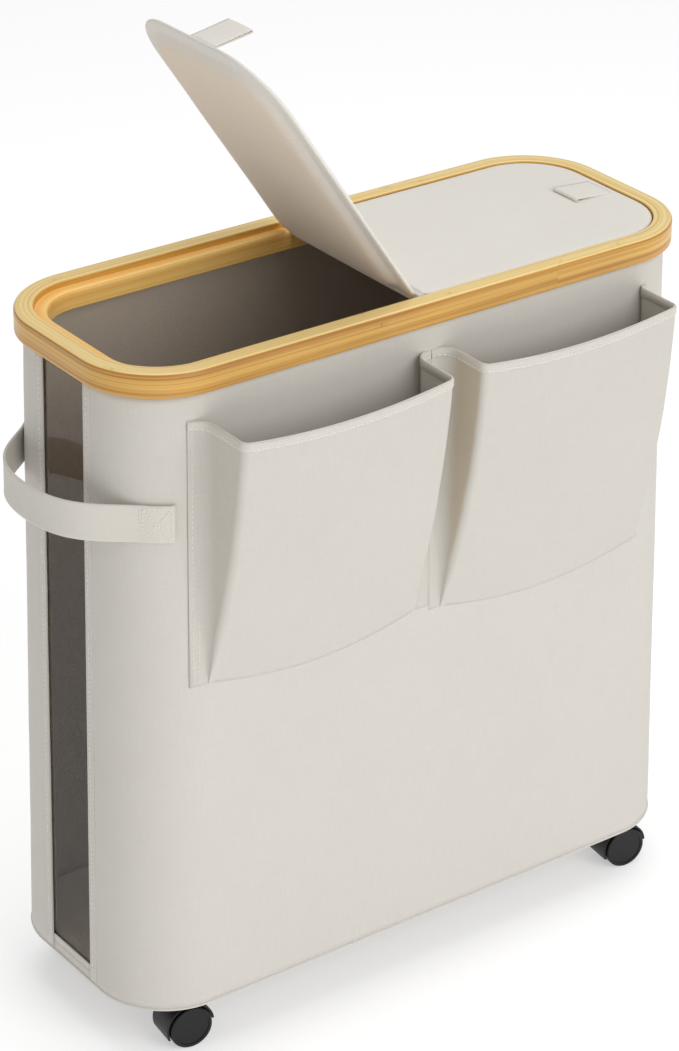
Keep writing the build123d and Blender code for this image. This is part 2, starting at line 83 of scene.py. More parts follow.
WINDOW_HALF = -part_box("window_hem_front")[1].y
WINDOW_FOOT_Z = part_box("window_sill")[1].z
HEM_STITCH = 3.4 * MM      # from the window's edge

POCKET_TOP_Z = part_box("pocket_left_gusset_left")[1].z
POCKET_FOOT_Z = 267 * MM
POCKET_ARC = 11 * MM       # how far the sewn foot bows down in the middle
POCKET_SAG = 5.5 * MM      # how far the top edge dips in the middle
POCKET_HEM = 6 * MM

STRAP_LOW, STRAP_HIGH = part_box("handle_strap")
STRAP_THICK = 1.8 * MM
STRAP_CLEAR = 0.7 * MM

LID_END_X, LID_HALF_WIDTH, LID_TOP_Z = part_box("lid_right_cover")[1]
LID_CORNER_R = 40 * MM
LID_HINGE_X = 2.6 * MM
LID_OPEN = math.radians(56)
TAB_WIDTH = 24 * MM
TAB_THICK = 0.6 * MM


# ---- meshes ----

def add_object(name, data):
    piece = bpy.data.objects.new(name, data)
    bpy.context.scene.collection.objects.link(piece)
    return piece


def mesh_object(name, verts, faces, uvs=None):
    """A smooth object from points and faces; uvs holds one pair in metres per face corner."""
    mesh = bpy.data.meshes.new(name)
    mesh.from_pydata([tuple(v) for v in verts], [], faces)
    if uvs is not None:
        layer = mesh.uv_layers.new(name="surface")
        layer.data.foreach_set("uv", np.array(uvs, np.float32).ravel())
    mesh.polygons.foreach_set("use_smooth", [True] * len(mesh.polygons))
    mesh.update()
    return add_object(name, mesh)


def unit(vector):
    return vector / np.linalg.norm(vector)


def unit_rows(vectors):
    return vectors / np.linalg.norm(vectors, axis=1)[:, None]


def at_height(plan, z):
    """Points (x, y, z) for a row of points (x, y)."""
    return np.column_stack([plan, np.full(len(plan), z)])


def lengths_along(points, closed=False):
    """How far each point is along the line through them, in metres."""
    points = np.asarray(points, float)
    if closed:
        points = np.vstack([points, points[:1]])
    steps = np.linalg.norm(np.diff(points, axis=0), axis=1)
    return np.concatenate([[0], np.cumsum(steps)])


def skin(name, grid, close_u=False, close_v=False, shift=0.0, caps=False):
    """A quad mesh through grid[i][j]. It faces out if i runs anticlockwise round the bin and j up.
    shift moves the map along; caps closes the two ends of a tube with flat faces."""
    grid = np.asarray(grid, float)
    rows, cols = grid.shape[:2]
    us = lengths_along(grid[:, cols // 2], close_u) + shift
    vs = lengths_along(grid[rows // 2], close_v)
    faces, uvs = [], []
    for i in range(rows if close_u else rows - 1):
        for j in range(cols if close_v else cols - 1):
            next_i, next_j = (i + 1) % rows, (j + 1) % cols
            faces.append((i * cols + j, next_i * cols + j, next_i * cols + next_j, i * cols + next_j))
            uvs += [(us[i], vs[j]), (us[i + 1], vs[j]), (us[i + 1], vs[j + 1]), (us[i], vs[j + 1])]
    if caps:
        faces += [tuple(range(cols)), tuple(range((rows - 1) * cols, rows * cols))[::-1]]
        uvs += [(y, z) for row in (grid[0], grid[-1][::-1]) for _, y, z in row]
    piece = mesh_object(name, grid.reshape(-1, 3), faces, uvs)
    if caps:
        for end in piece.data.polygons[-2:]:
            end.use_smooth = False
    return piece


def right_of(way):
    """Unit directions to the right of a way travelled in plan."""
    way = unit_rows(way)
    return np.stack([way[:, 1], -way[:, 0]], 1)


def rounded_path(corners, radii, arc_steps, side_steps, closed=True):
    """Points and normals (to the right of the way travelled) along a line with rounded corners.
    side_steps is one number, or one for each side. An open path keeps its two ends as they are."""
    corners = [np.asarray(c, float) for c in corners]
    count = len(corners)
    runs = []
    for k, corner in enumerate(corners):
        if not closed and k in (0, count - 1):
            runs.append(np.array([corner]))
            continue
        before = unit(corners[k - 1] - corner)
        after = unit(corners[(k + 1) % count] - corner)
        half = math.acos(max(-1.0, min(1.0, before @ after))) / 2
        radius = max(radii[k], 1e-6)
        middle = corner + unit(before + after) * radius / math.sin(half)
        first = corner + before * radius / math.tan(half) - middle
        last = corner + after * radius / math.tan(half) - middle
        turn = math.pi - 2 * half
        share = np.linspace(0, 1, arc_steps + 1)[:, None]
        arc = (np.sin((1 - share) * turn) * first + np.sin(share * turn) * last) / math.sin(turn)
        runs.append(middle + arc)
    points = []
    for k in range(count if closed else count - 1):
        steps = side_steps[k] if hasattr(side_steps, "__len__") else side_steps
        start, end = runs[k][-1], runs[(k + 1) % count][0]
        between = [start + (end - start) * s / steps for s in range(1, steps)]
        points += [*runs[k], *between]
    if not closed:
        points += [*runs[-1]]
    points = np.array(points)
    if closed:
        way = np.roll(points, -1, axis=0) - np.roll(points, 1, axis=0)
    else:
        way = np.gradient(points, axis=0)
    return points, right_of(way)


def rectangle(length, width):
    """Corners of a rectangle, anticlockwise from the one at -X, -Y."""
    x, y = length / 2, width / 2
    return [(-x, -y), (x, -y), (x, y), (-x, y)]


def swept_ring(name, length, width, radius, profile):
    """A closed ring: each profile point is (inset from the outline, height)."""
    points, normals = rounded_path(rectangle(length, width), [radius] * 4, 20, [30, 12, 30, 12])
    grid = [[(*(p - n * inset), z) for inset, z in profile] for p, n in zip(points, normals)]
    return skin(name, grid, close_u=True, close_v=True)


def ripple(points, size, amount):
    """A smooth uneven height for each point, made of three crossing waves, the same in every run."""
    points = np.asarray(points, float) / size
    x, y, z = points[..., 0], points[..., 1], points[..., 2]
    first = np.sin(2.1 * x + 1.3 * z + 0.4) * np.sin(1.7 * y + 0.9 * z + 1.1)
    second = np.sin(4.3 * x - 2.9 * z + 2.0) * np.sin(3.1 * y + 3.7 * z + 0.3)
    third = np.sin(7.9 * z + 5.1 * x + 0.8) * np.cos(6.1 * x - 4.7 * y)
    return amount * (0.6 * first + 0.3 * second + 0.15 * third)


def thicken(piece, thickness, offset=-1.0):
    """Give a sheet its thickness; offset -1 puts it all behind the sheet's face."""
    solid = piece.modifiers.new("cloth", "SOLIDIFY")
    solid.thickness = thickness
    solid.offset = offset
    solid.use_rim = True


def flat_faces(piece):
    """Keep large flat faces flat next to their rounded edges."""
    weighted = piece.modifiers.new("flat_faces", "WEIGHTED_NORMAL")
    weighted.keep_sharp = True


def even_steps(start, end, steps):
    return [start + (end - start) * s / steps for s in range(steps + 1)]


# ---- materials ----

THREAD_MAP = (60, 1500)    # along and across a thread, per metre
THREAD_TONE = 0.04         # how much lighter or darker single threads are
PATCHES_PER_METRE = 14
CLOTH_SHADER = {"Roughness": 0.88, "Sheen Weight": 0.18, "Sheen Roughness": 0.45, "Specular IOR Level": 0.25}
SEAM_SHARE = 0.035         # of a bamboo strip's width, on each side
RING_SPACING = 0.62        # between the growth rings of one strip, m


def new_material(name):
    """A material, its node tree and its Principled shader."""
    material = bpy.data.materials.new(name)
    material.use_nodes = True
    tree = material.node_tree
    shader = tree.nodes["Principled BSDF"]
    return material, tree, shader


def node(tree, kind, **settings):
    made = tree.nodes.new("ShaderNode" + kind)
    for key, value in settings.items():
        setattr(made, key, value)
    return made


def link(start, end):
    """Join two sockets; a socket's id_data is the node tree that it is in."""
    start.id_data.links.new(start, end)


def feed(socket, value):
    """Give an input a number, a colour or another node's output."""
    if isinstance(value, (int, float)):
        socket.default_value = value
    elif isinstance(value, tuple):
        socket.default_value = (*value, 1.0)
    else:
        link(value, socket)


def math_node(operation, a, b=None):
    """A Math node; a is a socket, and b a socket or a number."""
    made = node(a.id_data, "Math", operation=operation)
    feed(made.inputs[0], a)
    if b is not None:
        feed(made.inputs[1], b)
    return made.outputs[0]


def plus(a, b):
    return math_node("ADD", a, b)


def times(a, b):
    return math_node("MULTIPLY", a, b)


def set_sockets(shader, values):
    for socket, value in values.items():
        shader.inputs[socket].default_value = value


def surface_map(tree, scale_u=1.0, scale_v=1.0):
    """The piece's own map, in metres, scaled."""
    where = node(tree, "UVMap", uv_map="surface")
    scaled = node(tree, "VectorMath", operation="MULTIPLY")
    scaled.inputs[1].default_value = (scale_u, scale_v, 1.0)
    link(where.outputs[0], scaled.inputs[0])
    return scaled.outputs[0]


def noise(vector, scale=1.0, detail=2.0, roughness=0.5):
    made = node(vector.id_data, "TexNoise")
    set_sockets(made, {"Scale": scale, "Detail": detail, "Roughness": roughness})
    link(vector, made.inputs["Vector"])
    return made.outputs["Fac"]


def ramp(factor, stops):
    """A colour ramp; stops are (place, colour)."""
    made = node(factor.id_data, "ValToRGB")
    elements = made.color_ramp.elements
    while len(elements) < len(stops):
        elements.new(0.5)
    for element, (place, colour) in zip(elements, stops):
        element.position = place
        element.color = (*colour, 1.0)
    link(factor, made.inputs[0])
    return made.outputs[0]


def mix_colour(tree, factor, first, second, blend="MIX"):
    made = node(tree, "Mix", data_type="RGBA", blend_type=blend)
    for number, value in ((0, factor), (6, first), (7, second)):
        feed(made.inputs[number], value)
    return made.outputs[2]


def bump(shader, height, strength, distance):
    made = node(shader.id_data, "Bump")
    set_sockets(made, {"Strength": strength, "Distance": distance})
    link(height, made.inputs["Height"])
    link(made.outputs[0], shader.inputs["Normal"])


def srgb(red, green, blue):
    """A colour given as 0 to 255 screen values."""
    linear = []
    for value in (red, green, blue):
        share = value / 255
        linear.append(share / 12.92 if share < 0.04045 else ((share + 0.055) / 1.055) ** 2.4)
    return tuple(linear)


def darker(colour, share):
    return tuple(c * share for c in colour)


def woven(name, colour, pitch=1.15 * MM, relief=0.45, contrast=0.86, under=None):
    """Plain-woven cloth: threads crossing over and under, uneven thread thickness, soft sheen.
    under is a second colour, for where the piece's attribute named under is 1; on the pockets and lids it is
    painted warm shade."""
    material, tree, shader = new_material(name)
    turns = 2 * math.pi / pitch
    split = node(tree, "SeparateXYZ")
    link(surface_map(tree, turns, turns), split.inputs[0])
    across = math_node("SINE", split.outputs[0])
    along = math_node("SINE", split.outputs[1])
    weave = plus(times(times(across, along), 0.5), 0.5)
    threads_u = noise(surface_map(tree, *THREAD_MAP))
    threads_v = noise(surface_map(tree, *THREAD_MAP[::-1]))
    threads = times(plus(threads_u, threads_v), 0.5)
    patches = noise(surface_map(tree, PATCHES_PER_METRE, PATCHES_PER_METRE), detail=3.0)

    base = colour
    if under is not None:
        share = node(tree, "Attribute", attribute_name="under")
        base = mix_colour(tree, share.outputs["Fac"], colour, under)
    low = mix_colour(tree, 1.0, base, (contrast, contrast, contrast * 0.98), "MULTIPLY")
    shade = mix_colour(tree, weave, low, base)
    uneven = ramp(threads, [(0.3, (1 - THREAD_TONE,) * 3), (0.75, (1 + THREAD_TONE,) * 3)])
    shade = mix_colour(tree, 1.0, shade, uneven, "MULTIPLY")
    cloudy = ramp(patches, [(0.3, (0.985, 0.98, 0.97)), (0.7, (1.0, 1.0, 1.0))])
    shade = mix_colour(tree, 1.0, shade, cloudy, "MULTIPLY")
    link(shade, shader.inputs["Base Color"])
    set_sockets(shader, CLOTH_SHADER)
    bump(shader, plus(weave, times(threads, 0.5)), relief, 0.12 * MM)
    return material


def bamboo(name, light, middle, dark, strip):
    """Laminated bamboo: thin strips side by side, long fibres along them and a few growth rings."""
    material, tree, shader = new_material(name)
    split = node(tree, "SeparateXYZ")
    link(surface_map(tree), split.inputs[0])
    lane = math_node("DIVIDE", split.outputs[1], strip)
    in_lane = math_node("FRACT", lane)
    lane_noise = node(tree, "TexWhiteNoise", noise_dimensions="1D")
    link(math_node("FLOOR", lane), lane_noise.inputs["W"])
    lane_value = lane_noise.outputs["Value"]

    fibres = noise(surface_map(tree, 9, 2600), detail=3.0, roughness=0.6)
    streaks = noise(surface_map(tree, 3.0, 520))
    clouds = noise(surface_map(tree, 16, 60))
    tone = times(fibres, 0.32)
    for part, share in ((streaks, 0.75), (lane_value, 0.16), (clouds, 0.1)):
        tone = plus(tone, times(part, share))
    wood = ramp(tone, [(0.44, dark), (0.64, middle), (0.86, light)])

    from_middle = math_node("ABSOLUTE", math_node("SUBTRACT", in_lane, 0.5))
    seam = math_node("GREATER_THAN", from_middle, 0.5 - SEAM_SHARE)
    wood = mix_colour(tree, times(seam, 0.45), wood, darker(dark, 0.75))

    along = math_node("DIVIDE", split.outputs[0], RING_SPACING)
    along = math_node("FRACT", plus(along, times(lane_value, 7.0)))
    from_ring = math_node("ABSOLUTE", math_node("SUBTRACT", along, 0.5))
    for reach, strength, depth in ((0.008, 0.12, 0.85), (0.0014, 0.25, 0.6)):
        ring = math_node("LESS_THAN", from_ring, reach)
        wood = mix_colour(tree, times(ring, strength), wood, darker(dark, depth))
    link(wood, shader.inputs["Base Color"])

    gloss = ramp(fibres, [(0.3, (0.30,) * 3), (0.7, (0.44,) * 3)])
    link(gloss, shader.inputs["Roughness"])
    set_sockets(shader, {"Coat Weight": 0.2, "Coat Roughness": 0.25})
    height = math_node("SUBTRACT", times(fibres, 0.5), times(seam, 0.6))
    bump(shader, height, 0.35, 0.1 * MM)
    return material


def object_noise(tree, scale):
    where = node(tree, "TexCoord")
    return noise(where.outputs["Object"], scale)


def plain_stuff(name, colour, roughness, grain, relief, variation, metallic, specular):
    """Moulded plastic, metal, board or foam: one colour with a fine grain and slight colour drift."""
    material, tree, shader = new_material(name)
    fine = object_noise(tree, grain)
    broad = object_noise(tree, 35.0)
    shade = ramp(broad, [(0.3, darker(colour, 1 - variation)), (0.7, colour)])
    link(shade, shader.inputs["Base Color"])
    matte = ramp(fine, [(0.25, (roughness * 0.85,) * 3), (0.75, (min(1.0, roughness * 1.15),) * 3)])
    link(matte, shader.inputs["Roughness"])
    set_sockets(shader, {"Metallic": metallic, "Specular IOR Level": specular})
    bump(shader, fine, relief, 0.05 * MM)
    return material


def clear_film(name):
    """Clear plastic sheet, tinted brown as painted shade: what is behind it shows, and it mirrors a little
    more towards its edge.
    """
    material, tree, shader = new_material(name)
    haze = object_noise(tree, 90.0)
    # the brownish tint darkens what shows through the film: painted shade
    painted_shade_tint = ramp(haze, [(0.3, (0.78, 0.73, 0.68)), (0.7, (0.82, 0.77, 0.72))])
    link(painted_shade_tint, shader.inputs["Base Color"])
    set_sockets(shader, {"Roughness": 0.02, "IOR": 1.15, "Transmission Weight": 1.0})
    bump(shader, haze, 0.012, 0.2 * MM)
    return material


MATERIALS = {
    "cover": woven("cover_weave", srgb(217, 213, 206)),
    # the pocket's second colour, on its left side fold, is painted warm shade
    "pocket": woven("pocket_weave", srgb(212, 208, 201), under=srgb(212, 196, 172)),
    # the lid's underside is the same cloth, given a warmer second colour as painted warm shade
    "lid": woven("lid_weave", srgb(235, 231, 224), under=srgb(236, 222, 204)),
    "strap": woven("strap_weave", srgb(222, 218, 210), pitch=1.1 * MM, relief=0.5),
    "lining": woven("lining_weave", srgb(206, 195, 182), pitch=1.6 * MM, relief=0.6, contrast=0.7),
    "underside": woven("underside_weave", srgb(120, 114, 106), pitch=1.2 * MM, contrast=0.8),
    "film": clear_film("clear_film"),
}

BAMBOOS = {
    # light, middle and dark colour, and the width of a strip
    "bamboo_face": ((226, 180, 91), (203, 151, 65), (170, 112, 38), 3.1 * MM),
    "bamboo_top": ((246, 222, 156), (238, 205, 132), (212, 166, 88), 3.0 * MM),
    # the ledge is the same bamboo in brighter, more saturated colours: painted light bounced into the bin
    "bamboo_ledge_painted_light": ((255, 218, 132), (254, 198, 108), (236, 162, 72), 3.0 * MM),
}
for key, (light, middle, dark, strip) in BAMBOOS.items():
    MATERIALS[key] = bamboo(key, srgb(*light), srgb(*middle), srgb(*dark), strip)

PLAIN_STUFFS = {
    # the material's name, colour, roughness, grain, relief, variation, metallic, specular
    "thread": ("sewing_thread", (233, 229, 220), 0.8, 2500.0, 0.4, 0.08, 0.0, 0.5),
    "castor": ("castor_black", (15, 15, 16), 0.42, 700.0, 0.2, 0.2, 0.0, 0.4),
    "wheel": ("wheel_black", (18, 18, 19), 0.42, 500.0, 0.1, 0.15, 0.0, 0.35),
    "board": ("grey_board", (150, 142, 130), 0.9, 1500.0, 0.3, 0.1, 0.0, 0.5),
    "fibreboard": ("fibreboard", (140, 105, 70), 0.8, 1200.0, 0.4, 0.2, 0.0, 0.5),
    "foam": ("foam", (225, 222, 210), 0.95, 1800.0, 0.6, 0.08, 0.0, 0.5),
    "steel": ("zinc_steel", (190, 190, 188), 0.35, 900.0, 0.15, 0.1, 1.0, 0.5),
}
for key, (name, colour, *rest) in PLAIN_STUFFS.items():
    MATERIALS[key] = plain_stuff(name, srgb(*colour), *rest)


def dress(piece, material, replaces=(), body="root"):
    """Give a piece its material and the body it moves with, and hide the CAD nodes that it stands for."""
    piece.data.materials.clear()
    piece.data.materials.append(MATERIALS[material])
    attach(piece, body)
    if replaces:
        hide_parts(*replaces)
    return piece


# ---- stitches ----

STITCH_RADIUS = 0.36 * MM
BEAD_RINGS = ((-1.0, 0.25), (-0.75, 0.85), (0.0, 1.0), (0.75, 0.85), (1.0, 0.25))    # place, thickness
BEAD_SIDES = 6


def bead(start, end, normal):
    """One stitch from start to end, half sunk in the cloth: its points and faces."""
    way = unit(end - start)
    side = unit(np.cross(normal, way))
    up = np.cross(way, side)
    middle = (start + end) / 2
    half = np.linalg.norm(end - start) / 2
    points = []
    for place, share in BEAD_RINGS:
        for k in range(BEAD_SIDES):
            angle = 2 * math.pi * k / BEAD_SIDES
            around = math.cos(angle) * side + math.sin(angle) * up
            points.append(middle + way * half * place + around * STITCH_RADIUS * share)
    faces = []
    for ring in range(len(BEAD_RINGS) - 1):
        for k in range(BEAD_SIDES):
            here, there = ring * BEAD_SIDES, (ring + 1) * BEAD_SIDES
            following = (k + 1) % BEAD_SIDES
            faces.append((here + k, here + following, there + following, there + k))
    last = (len(BEAD_RINGS) - 1) * BEAD_SIDES
    faces.append(tuple(range(BEAD_SIDES))[::-1])
    faces.append(tuple(last + k for k in range(BEAD_SIDES)))
    return points, faces


def stitch_line(name, lines, length=2.3 * MM, gap=1.0 * MM):
    """Rows of stitches in one piece. Each line is (points, normals), and the stitches follow it."""
    verts, faces = [], []
    for points, normals in lines:
        points = np.asarray(points, float)
        normals = np.asarray(normals, float)
        if normals.ndim == 1:
            normals = np.tile(normals, (len(points), 1))
        along = lengths_along(points)
        count = max(1, int(along[-1] / (length + gap)))
        step = along[-1] / count
        for k in range(count):
            ends = []
            for place in (k * step + (step - length) / 2, k * step + (step + length) / 2):
                ends.append(np.array([np.interp(place, along, points[:, c]) for c in range(3)]))
            middle = (k + 0.5) * step
            normal = np.array([np.interp(middle, along, normals[:, c]) for c in range(3)])
            new_points, new_faces = bead(ends[0], ends[1], normal)
            faces += [tuple(i + len(verts) for i in face) for face in new_faces]
            verts += new_points
    return dress(mesh_object(name, verts, faces), "thread")


# ---- the bamboo rim ----

def paint_top(piece, material):
    """Faces that look up take the second material."""
    piece.data.materials.append(MATERIALS[material])
    for face in piece.data.polygons:
        face.material_index = 1 if face.normal.z > 0.6 else 0


def scarf_shift(x, inset):
    """How far along X a point of the band moves, so that the joint's faces slant."""
    near = max(0.0, 1 - abs(x - SCARF_X) / SCARF_BLEND)
    return SCARF_RUN * (inset / BAND_THICK - 0.5) * near


def band_profile():
    top, foot = RIM_TOP_Z, RIM_FOOT_Z
    corners = [(0, foot), (0, top), (BAND_THICK, top), (BAND_THICK, foot)]
    return rounded_path(corners, BAND_EDGE_RADII, 4, 2)[0]


def make_band(name, sign, shift, replaced):
    """One of the two bent strips of the outer band; sign -1 is the one round the left end."""
    half_length, half_width = RIM_LENGTH / 2, RIM_WIDTH / 2
    joint = SCARF_X + sign * SCARF_GAP / 2
    corners = [
        (joint, -sign * half_width), (sign * half_length, -sign * half_width),
        (sign * half_length, sign * half_width), (joint, sign * half_width)]
    radii = [0, RIM_CORNER_R, RIM_CORNER_R, 0]
    points, normals = rounded_path(corners, radii, 24, [40, 12, 40], closed=False)
    grid = []
    for (x, y), normal in zip(points, normals):
        row = []
        for inset, z in band_profile():
            px, py = np.array([x, y]) - normal * inset
            row.append((px + scarf_shift(x, inset), py, z))
        grid.append(row)
    piece = skin(name, grid, close_v=True, shift=shift, caps=True)
    dress(piece, "bamboo_face", [replaced])
    paint_top(piece, "bamboo_top")
    flat_faces(piece)


def make_rim():
    make_band("rim_left_strip", -1, 0.0, "rim_band_left")
    make_band("rim_right_strip", 1, GRAIN_SHIFT, "rim_band_right")

    inset = BAND_THICK
    top, foot = LEDGE_HIGH.z, LEDGE_LOW.z
    corners = [(inset, foot), (inset, top), (inset + LEDGE_WIDTH, top), (inset + LEDGE_WIDTH, foot)]
    profile = rounded_path(corners, LEDGE_EDGE_RADII, 4, 2)[0]
    ledge = swept_ring("rim_ledge_ring", RIM_LENGTH, RIM_WIDTH, RIM_CORNER_R, profile)
    # the ledge's brighter bamboo is painted light
    dress(ledge, "bamboo_ledge_painted_light", ["rim_ledge"])
    flat_faces(ledge)


# ---- the fabric body ----

CALM_TOP = 50 * MM         # the cloth is smooth at its sewn edges and uneven beyond these heights
CALM_FOOT = 30 * MM
HEM_STITCH_STAND = 0.58 * MM
FILM_INSET = 1.1 * MM
FILM_THICK = 0.4 * MM
PIPING_RADIUS = 0.95 * MM
PIPING_INSET = 0.45 * MM
PIPING_RISE = 1.1 * MM     # the piping's middle above the foot
FLOOR_PAD_INSET = 5.2 * MM
HEM_SECTION = (
    # distance from the window's edge and height off the cover, mm
    (0.3, -0.6), (0.0, 0.1), (0.15, 0.5), (0.9, 0.75), (3.0, 0.55), (5.0, 0.6), (6.3, 0.55), (6.9, 0.3),
    (7.0, 0.05), (6.9, -0.05),
)
SILL_SECTION = (
    # depth behind the cover and height above the floor, mm
    (1.4, 49.2), (1.0, 50.0), (0.5, 49.9), (0.3, 49.2), (0.45, 47.5), (0.5, 45.6), (0.95, 45.2), (0.5, 44.8),
    (0.35, 43.0), (0.3, 41.0), (0.3, 39.0),
)


def body_size(z):
    """Length and width outside the cover at height z."""
    share = (BODY_TOP_Z - z) / (BODY_TOP_Z - BODY_FOOT_Z)
    length = BODY_TOP_SIZE[0] + share * (BODY_FOOT_SIZE[0] - BODY_TOP_SIZE[0])
    width = BODY_TOP_SIZE[1] + share * (BODY_FOOT_SIZE[1] - BODY_TOP_SIZE[1])
    return length, width


def body_path(z, window_half, inset=0.0):
    """Points and normals round the body at height z, from one edge of the window to the other."""
    length, width = body_size(z)
    corners = rectangle(length, width)
    path = [(-length / 2, -window_half), *corners, (-length / 2, window_half)]
    radii = [0] + [BODY_CORNER_R] * 4 + [0]
    points, normals = rounded_path(path, radii, 20, [4, 56, 10, 56, 4], closed=False)
    return points - normals * inset, normals


def wall_sheet(name, window_half, inset, low_z, high_z, steps, unevenness):
    """A sheet round the body, open at the window."""
    columns = []
    for z in even_steps(low_z, high_z, steps):
        points, normals = body_path(z, window_half, inset)
        column = at_height(points, z)
        fade = min(1.0, (high_z - z) / CALM_TOP, (z - low_z) / CALM_FOOT)
        column += at_height(normals, 0.0) * (ripple(column, 0.06, unevenness) * max(fade, 0.0))[:, None]
        columns.append(column)
    return skin(name, np.stack(columns, axis=1))


def make_cover():
    low_z, high_z = BODY_FOOT_Z + 1 * MM, BODY_TOP_Z - 0.2 * MM
    cover = wall_sheet("cover_sheet", WINDOW_HALF, 0.0, low_z, high_z, steps=70, unevenness=0.25 * MM)
    thicken(cover, COVER_THICK)
    dress(cover, "cover", ["body_cover"])
    around = lengths_along(body_path(BODY_FOOT_Z, WINDOW_HALF)[0])[-1]


def make_lining():
    low_z, high_z = WINDOW_FOOT_Z - 5.5 * MM, BODY_TOP_Z - 0.6 * MM
    half = WINDOW_HALF + 1 * MM
    lining = wall_sheet("lining_sheet", half, LINING_INSET, low_z, high_z, steps=50, unevenness=0.3 * MM)
    thicken(lining, LINING_THICK, 1.0)
    dress(lining, "lining", ["lining"])
    around = lengths_along(body_path(low_z, WINDOW_HALF, LINING_INSET)[0])[-1]


def end_x(z):
    """X of the cover's flat left end, where the window is, at height z."""
    return -body_size(z)[0] / 2


def hem_strip(name, side):
    """A turned edge beside the window, with a soft fold at the edge; side -1 is the front one."""
    heights = even_steps(BODY_FOOT_Z + 3 * MM, BODY_TOP_Z - 0.3 * MM, 60)
    rows = []
    for across, stand in HEM_SECTION[::-side]:
        y = side * (WINDOW_HALF + across * MM)
        rows.append([(end_x(z) - stand * MM, y, z) for z in heights])
    return skin(name, rows)


def make_window():
    for side, label in ((-1, "front"), (1, "back")):
        hem = hem_strip("window_edge_" + label, side)
        thicken(hem, 0.35 * MM)
        dress(hem, "cover", ["window_hem_" + label])
        line = []
        for z in even_steps(BODY_FOOT_Z + 4 * MM, BODY_TOP_Z - 1 * MM, 20):
            line.append((end_x(z) - HEM_STITCH_STAND, side * (WINDOW_HALF + HEM_STITCH), z))
        stitch_line("window_stitches_" + label, [(line, -X_AXIS)])

    rows = []
    for y in even_steps(-WINDOW_HALF - 3 * MM, WINDOW_HALF + 3 * MM, 12):
        row = []
        for z in even_steps(WINDOW_FOOT_Z - 3 * MM, BODY_TOP_Z - 0.5 * MM, 60):
            bow = ripple(np.array([0.0, y, z]), 0.05, 0.15 * MM)
            row.append((end_x(z) + FILM_INSET + bow, y, z))
        rows.append(row)
    film = skin("window_sheet", rows[::-1])
    thicken(film, FILM_THICK)
    dress(film, "film", ["window_film"])
    make_sill()


def make_sill():
    """The cloth strip across the foot of the window, with its folded top edge and a seam."""
    rows = []
    for y in even_steps(-WINDOW_HALF - 0.5 * MM, WINDOW_HALF + 0.5 * MM, 10):
        rows.append([(end_x(z * MM) + inset * MM, y, z * MM) for inset, z in SILL_SECTION[::-1]])
    sill = skin("sill_strip", rows[::-1])
    thicken(sill, 0.5 * MM)
    dress(sill, "cover", ["window_sill"])


def make_foot():
    """Piping round the bottom edge, the cloth underneath and the pad inside on the base."""
    length, width = body_size(BODY_FOOT_Z)
    middle_z = BODY_FOOT_Z + PIPING_RISE
    profile = []
    for k in range(8):
        angle = 2 * math.pi * k / 8
        inset = PIPING_INSET - PIPING_RADIUS * math.cos(angle)
        profile.append((inset, middle_z + PIPING_RADIUS * math.sin(angle)))
    piping = swept_ring("foot_piping", length, width, BODY_CORNER_R, profile)
    dress(piping, "cover", ["base_piping"])

    under_z = BODY_FOOT_Z + 0.1 * MM
    points, normals = body_outline(under_z)
    rings = rings_to_middle(points - normals * 0.2 * MM, (1.0, 0.8, 0.5, 0.2, 0.0))
    underside = planar_skin("underside_sheet", [at_height(ring, under_z) for ring in rings], flip=True)
    merge_doubles(underside)
    thicken(underside, COVER_THICK)
    dress(underside, "underside", ["base_underside"])

    pad_low, pad_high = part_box("floor_pad")
    pad = pad_slab("inside_pad", FLOOR_PAD_INSET, pad_low.z, pad_high.z)
    dress(pad, "lining", ["floor_pad"])


def rings_to_middle(points, shares):
    """Copies of a closed outline drawn in towards the middle line of the body, one for each share."""
    reach = abs(points[:, 0]).max() - abs(points[:, 1]).max()
    core = np.column_stack([np.clip(points[:, 0], -reach, reach), np.zeros(len(points))])
    return [core + (points - core) * share for share in shares]


def planar_skin(name, rings, flip=False):
    """A mesh through closed rings of (x, y, z), whose map is its plan in metres."""
    rings = [np.asarray(ring, float) for ring in rings]
    count = len(rings[0])
    verts = np.vstack(rings)
    faces, uvs = [], []
    for i in range(len(rings) - 1):
        for j in range(count):
            following = (j + 1) % count
            face = (i * count + j, i * count + following, (i + 1) * count + following, (i + 1) * count + j)
            faces.append(face[::-1] if flip else face)
    for face in faces:
        uvs += [(verts[k][0], verts[k][1]) for k in face]
    return mesh_object(name, verts, faces, uvs)


def merge_doubles(piece):
    """Join points that lie on each other, such as those along a slab's middle line."""
    work = bmesh.new()
    work.from_mesh(piece.data)
    bmesh.ops.remove_doubles(work, verts=work.verts, dist=0.01 * MM)
    work.to_mesh(piece.data)
    work.free()
    piece.data.update()


def body_outline(z):
    """The closed outline of the body at height z and its outward normals."""
    return rounded_path(rectangle(*body_size(z)), [BODY_CORNER_R] * 4, 12, [20, 6, 20, 6])


def pad_slab(name, inset, low_z, high_z):
    """A thin padded slab with rounded edges that fits the bottom of the body."""
    points, normals = body_outline(low_z)
    inner = points - normals * (inset + 2 * MM)
    rings = [at_height(ring, low_z) for ring in rings_to_middle(inner, (0.0, 0.3, 0.6, 0.9))]
    edge = (
        (inset + 1.2 * MM, low_z), (inset, low_z + 1 * MM),
        (inset, high_z - 1.4 * MM), (inset + 1.4 * MM, high_z))
    for shift, z in edge:
        rings.append(at_height(points - normals * shift, z))
    for ring in rings_to_middle(inner, (0.95, 0.6, 0.3, 0.0)):
        flat = at_height(ring, high_z)
        flat[:, 2] += ripple(flat, 0.05, 0.25 * MM)
        rings.append(flat)
    pad = planar_skin(name, rings)
    merge_doubles(pad)
    return pad


# ---- pockets ----

